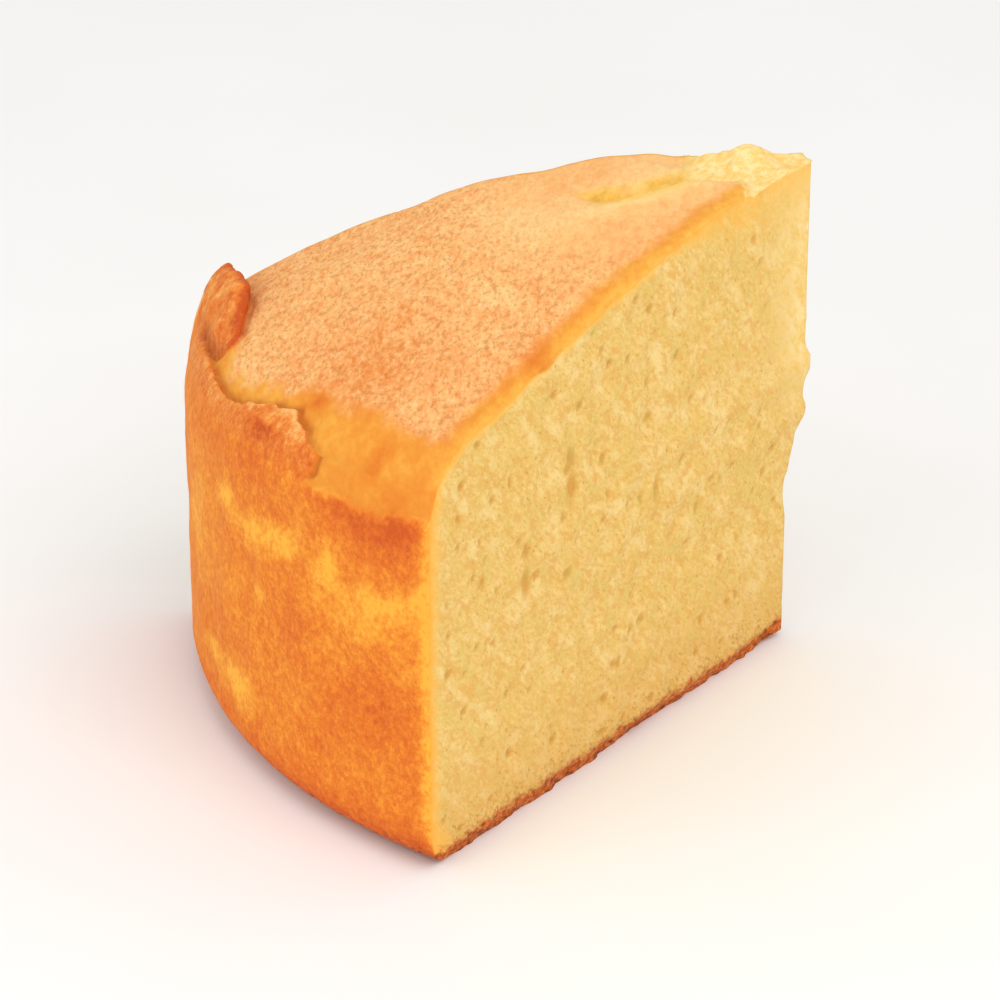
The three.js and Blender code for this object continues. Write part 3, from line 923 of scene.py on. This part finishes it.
# Shares of the tints. Each begins at one value of what it follows and is full at another.
SPECK_LIMIT = {"From Min": 8.0, "From Max": 1.5, "To Min": 0.36, "To Max": 0.56}
speck_limit = add_node("MapRange", {"Value": at["above_base"], **SPECK_LIMIT})
golden = add_node("Math", {0: at["gold"], 1: shift["gold"]}, operation="ADD")
base_edge = add_node("Math", {0: at["above_base"], 1: shift["base_edge"]}, operation="ADD")
share = {}
for name, value, start, full, most in [
    ("pale", noise["broad"], 0.5, 0.66, 0.6),
    ("olive", noise["broad"], 0.48, 0.34, 0.5),
    ("ochre", noise["middling"], 0.5, 0.64, 0.75),
    # painted shade, darker towards the base
    ("low", at["above_base"], 16.0, 2.0, 0.45),
    ("dark", noise["fine"], speck_limit, 0.27, 0.75),
    ("gold", golden, 0.05, 0.6, 1.0),
    ("dark_fleck", noise["flecks"], 0.48, 0.37, 0.46),
    ("pale_fleck", noise["flecks"], 0.56, 0.72, 0.45),
    ("skin", at["crust_depth"], shift["crust_edge"], 0.02, 1.0),
    ("base", base_edge, 3.0, 1.8, 0.95),
]:
    ends = {"From Min": start, "From Max": full, "To Max": most}
    share[name] = add_node("MapRange", {"Value": value, **ends})
evenness = add_node("MapRange", {"Value": at["specks"], "To Min": 0.5, "To Max": 1.0})
torn_off = add_node("Math", {0: 1.0, 1: at["smeared"]}, operation="SUBTRACT")
for name, whole, part in [
    # painted shade in the pores
    ("pore_shade", at["pore"], 0.75),
    ("crease", at["crease"], 0.75),
    ("dark_fleck", share["dark_fleck"], at["specks"]),
    ("pale_fleck", share["pale_fleck"], at["specks"]),
    ("skin", share["skin"], torn_off),
    ("top_shift", shift["top"], evenness),
]:
    share[name] = add_node("Math", {0: whole, 1: part}, operation="MULTIPLY")
top_value = add_node("Math", {0: at["browning"], 1: share["top_shift"]}, operation="ADD")
side_value = add_node("Math", {0: at["browning"], 1: shift["side_grain"]}, operation="ADD")
side_value = add_node("Math", {0: side_value, 1: shift["side_spots"]}, operation="ADD")

# The colours that change with a noise or with the browning.
tint = {}
for name, value, stops in [
    ("crumb", noise["fine"], CRUMB_COLOURS),
    ("pore", noise["broad"], PORE_SHADE_COLOURS),
    ("smeared", noise["middling"], SMEARED_COLOURS),
    ("gold", golden, GOLD_COLOURS),
    ("top", top_value, TOP_COLOURS),
    ("smooth", top_value, SMOOTH_COLOURS),
    ("bank", noise["middling"], BANK_COLOURS),
    ("side", side_value, SIDE_COLOURS),
    ("rolled", side_value, ROLLED_COLOURS),
    ("base", noise["specks"], BASE_COLOURS),
]:
    tint[name] = add_node("ValToRGB", {0: value}, stops=stops)

# Layers, each laid over what was mixed before it. Crumb: pale and golden grains, olive and ochre
# spots of one to three millimetres, sparse dark specks that are denser near the base, painted
# shade that darkens the crumb towards the base and in its pores, smeared crumb, and gold under
# each crust. Top crust: peach with dark and pale flecks, with smooth gold over the shoulder and
# beside the cuts, and bare crumb in the split. Side crust: yellow to red-brown with a fine grain,
# duller where it is rolled over the rim, with painted shade in the grooves and creases round the
# flap and the lip. The crusts show where their depth is 0, and the base crust is thicker and
# crumbles at its edge.
for name, amount, under, over in [
    ("crumb", share["pale"], "crumb", CRUMB_PALE),
    ("crumb", share["olive"], "crumb", CRUMB_OLIVE),
    ("crumb", share["ochre"], "crumb", CRUMB_OCHRE),
    ("crumb", share["low"], "crumb", CRUMB_SHADE_LOW),
    ("crumb", share["dark"], "crumb", CRUMB_SPECK),
    ("crumb", share["pore_shade"], "crumb", "pore"),
    ("crumb", at["smeared"], "crumb", "smeared"),
    ("crumb", share["gold"], "crumb", "gold"),
    ("top", share["pale_fleck"], "top", PALE_FLECK),
    ("top", share["dark_fleck"], "top", DARK_FLECK),
    ("top", at["grain"], "smooth", "top"),
    ("top", at["bare_bank"], "top", "bank"),
    ("side", at["rolled"], "side", "rolled"),
    ("skin", at["side_crust"], "top", "side"),
    ("skin", share["crease"], "skin", CREASE_SHADE_BROWN),
    ("cake", share["skin"], "crumb", "skin"),
    ("cake", share["base"], "cake", "base"),
]:
    colours = {0: amount, 6: tint[under], 7: tint.get(over, over)}
    tint[name] = add_node("Mix", colours, 2, data_type="RGBA")

# Fine relief under half a millimetre, which the mesh leaves out.
crust_grain = add_node(
    "Mix", {0: at["side_crust"], 2: noise["flecks"], 3: noise["specks"]}, data_type="FLOAT"
)
grain_height = add_node(
    "Mix", {0: share["skin"], 2: noise["fine"], 3: crust_grain}, data_type="FLOAT"
)
bump = add_node("Bump", {"Strength": 0.32, "Distance": 0.2 * MM, "Height": grain_height})
roughness = add_node("MapRange", {"Value": at["side_crust"], "To Min": 0.85, "To Max": 0.7})
shader = add_node(
    "BsdfPrincipled",
    {
        "Base Color": tint["cake"],
        "Roughness": roughness,
        "IOR": 1.42,
        "Specular IOR Level": 0.12,
        "Normal": bump,
        "Subsurface Weight": 0.35,
        "Subsurface Radius": (1.0, 0.55, 0.25),
        "Subsurface Scale": 1.2 * MM,
    },
)
add_node("OutputMaterial", {"Surface": shader})
mesh.materials.append(material)

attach(cake, "root")
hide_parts("cake_slice")


# ---------------------------------------------------------------------------------------------
# The table: a pale painted board that carries the slice and isn't part of it.
# ---------------------------------------------------------------------------------------------

TABLE_HALF = 3000.0
TABLE_WHITE = "#f7f6f4"
TABLE_GREY = "#f1efec"

corners = np.array([[-1, -1, 0], [1, -1, 0], [1, 1, 0], [-1, 1, 0]]) * TABLE_HALF
table_mesh = make_mesh("table", corners, np.array([[0, 1, 2, 3]]))
table = bpy.data.objects.new("table", table_mesh)
bpy.context.scene.collection.objects.link(table)

paint = bpy.data.materials.new("matte_table_paint")
paint.use_nodes = True
tree = paint.node_tree
tree.nodes.clear()
place = add_node("TexCoord", output="Object")
cloudy = add_node("TexNoise", {"Vector": place, "Scale": 1 / (60 * MM), "Detail": 3})
paint_colour = add_node("Mix", {0: cloudy, 6: TABLE_WHITE, 7: TABLE_GREY}, 2, data_type="RGBA")
painted = add_node("BsdfPrincipled", {"Base Color": paint_colour, "Roughness": 0.8})
add_node("OutputMaterial", {"Surface": painted})
table_mesh.materials.append(paint)


# ---------------------------------------------------------------------------------------------
# Soft studio light: a bright room, a large key light over the camera's right shoulder, and a
# weaker one on the left.
# ---------------------------------------------------------------------------------------------

ROOM_LIGHT = 0.78
LIGHTS = {  # azimuth and elevation in degrees, distance and size in metres, watts
    "key": (5, 50, 1.0, 0.7, 3.8),
    "fill": (-75, 30, 1.0, 0.8, 2.2),
}

world = bpy.data.worlds.new("studio")
world.use_nodes = True
world.node_tree.nodes["Background"].inputs["Color"].default_value = linear("#ffffff")
world.node_tree.nodes["Background"].inputs["Strength"].default_value = ROOM_LIGHT
bpy.context.scene.world = world
bpy.context.scene.view_settings.view_transform = "Standard"


def direction(azimuth, elevation):
    """Unit vector towards a light or camera: azimuth 0 is -Y and 90 is +X, both seen from above."""
    a, e = math.radians(azimuth), math.radians(elevation)
    return Vector((math.sin(a) * math.cos(e), -math.cos(a) * math.cos(e), math.sin(e)))


def aim(thing, target, azimuth, elevation, distance):
    """Puts a light or camera at a distance from its target, looking at it."""
    back = direction(azimuth, elevation)
    thing.location = target + back * distance
    thing.rotation_mode = "QUATERNION"
    thing.rotation_quaternion = (-back).to_track_quat("-Z", "Y")
    bpy.context.scene.collection.objects.link(thing)


slice_middle = (cad_box[0] + cad_box[1]) / 2
for name, (azimuth, elevation, distance, size, watts) in LIGHTS.items():
    lamp = bpy.data.lights.new(name, "AREA")
    lamp.size = size
    lamp.energy = watts
    aim(bpy.data.objects.new(name, lamp), slice_middle, azimuth, elevation, distance)


# ---------------------------------------------------------------------------------------------
# The camera, fitted to the slice's outline and edges in the photograph.
# ---------------------------------------------------------------------------------------------

CAMERA = {"azimuth": -24.602, "elevation": 26.008, "distance": 0.52136}
CAMERA_TARGET = Vector((-0.005609, -0.005571, 0.030234))
LENS = 153.32

lens = bpy.data.cameras.new("camera")
lens.lens = LENS
lens.sensor_width = 36
lens.clip_start = 0.01
lens.clip_end = 50
camera = bpy.data.objects.new("camera", lens)
aim(camera, CAMERA_TARGET, **CAMERA)
bpy.context.scene.camera = camera
